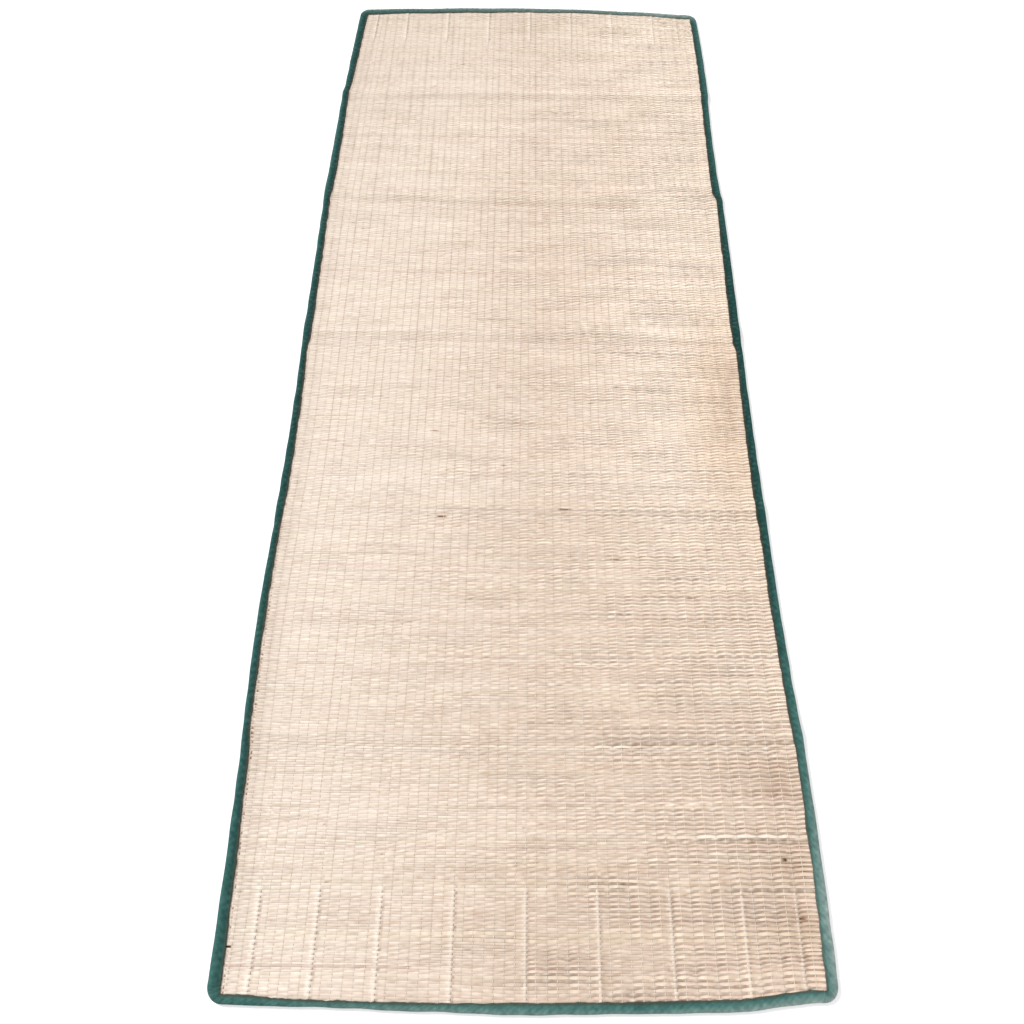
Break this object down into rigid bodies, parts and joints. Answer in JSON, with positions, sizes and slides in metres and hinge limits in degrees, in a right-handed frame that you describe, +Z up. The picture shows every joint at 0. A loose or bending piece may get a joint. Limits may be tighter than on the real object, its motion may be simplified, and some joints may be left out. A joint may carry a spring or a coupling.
{
  "type": "sleeping mat",
  "caption": "Woven reed sleeping mat bound all round with a folded green cloth tape, lying open and flat, with soft fold creases across it and raised cord ribs at both ends",
  "frame": {"origin": "on the floor, under the middle of the mat's bounding box", "axes": "+Z up off the floor, +Y along the length towards the far end, +X across to the right"},
  "size_m": [0.7398, 1.8257, 0.0073],
  "materials": {
    "woven_reed": "matte woven reed",
    "binding_tape": "matte cotton tape"
  },
  "bodies": {
    "root": {"mat": "woven_reed", "binding": "binding_tape"}
  },
  "joints": []
}
